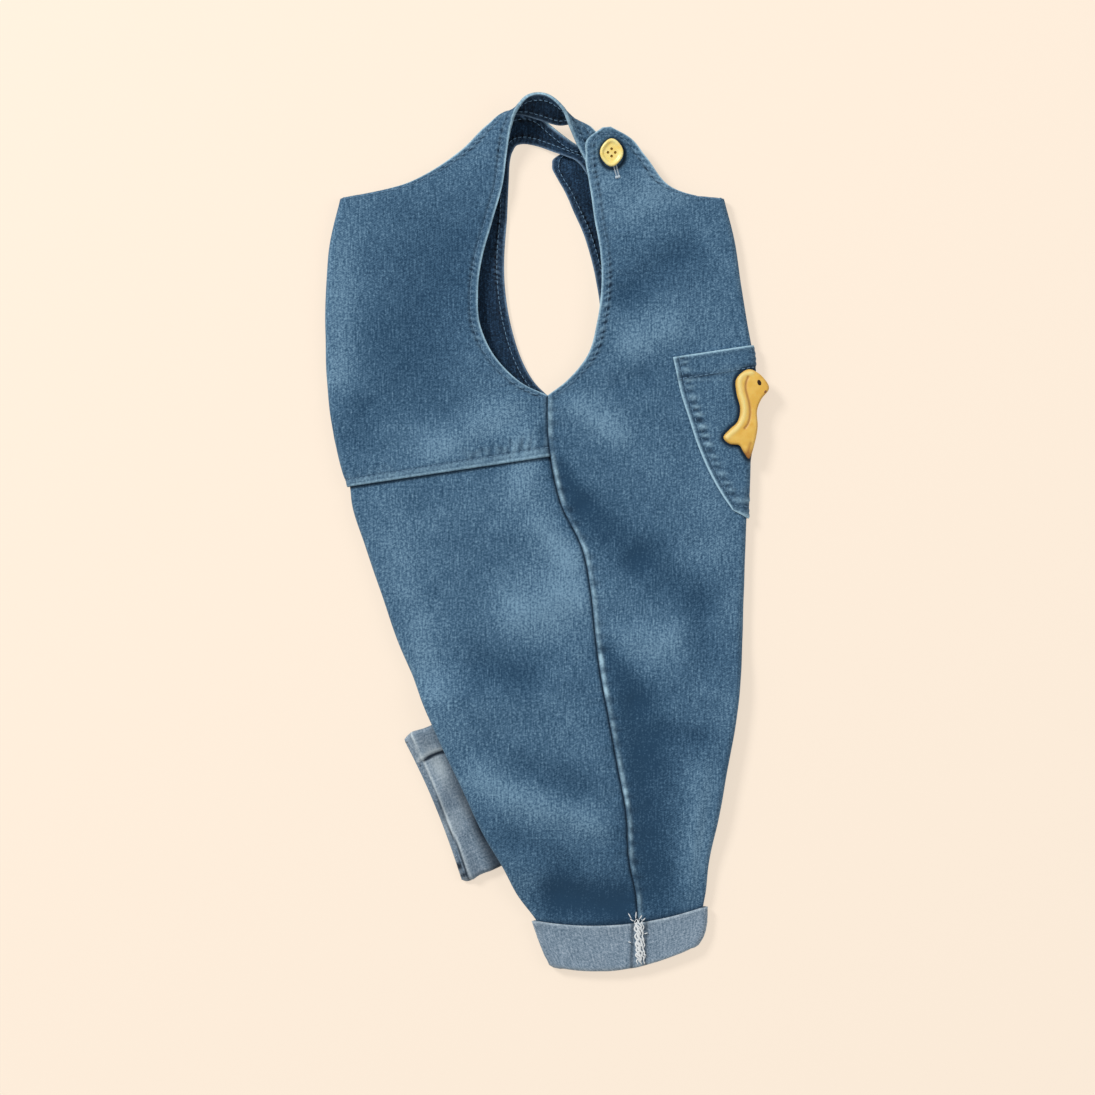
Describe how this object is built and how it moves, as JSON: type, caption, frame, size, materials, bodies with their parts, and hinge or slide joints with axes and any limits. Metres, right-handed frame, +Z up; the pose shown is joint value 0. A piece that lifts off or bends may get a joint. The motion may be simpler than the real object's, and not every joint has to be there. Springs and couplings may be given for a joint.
{
  "type": "kids' denim dungarees, laid flat",
  "caption": "Kids' blue denim dungarees laid flat on their side, with buttoned shoulder straps, front pocket, turned-up cuffs and a small animal badge.",
  "frame": {"origin": "on the surface the garment lies on, under the middle of its outline", "axes": "+Y towards the shoulders, +X towards the centre front, +Z up off the surface"},
  "size_m": [0.3044, 0.601, 0.0319],
  "materials": {
    "denim": "matt, washed mid-blue cotton denim",
    "denim_wrong_side": "matt, paler grey-blue back of the denim",
    "button_plastic": "smooth moulded yellow resin",
    "badge_rubber": "satin moulded yellow rubber"
  },
  "bodies": {
    "root": {"near_front_panel": "denim", "far_front_panel": "denim", "back_bodice": "denim", "near_back_leg": "denim", "far_back_leg": "denim", "near_cuff": "denim_wrong_side", "far_cuff": "denim_wrong_side", "far_leg_layers": "denim", "kangaroo_pocket": "denim", "near_button": "button_plastic", "far_button": "button_plastic", "animal_badge": "badge_rubber"}
  },
  "joints": []
}
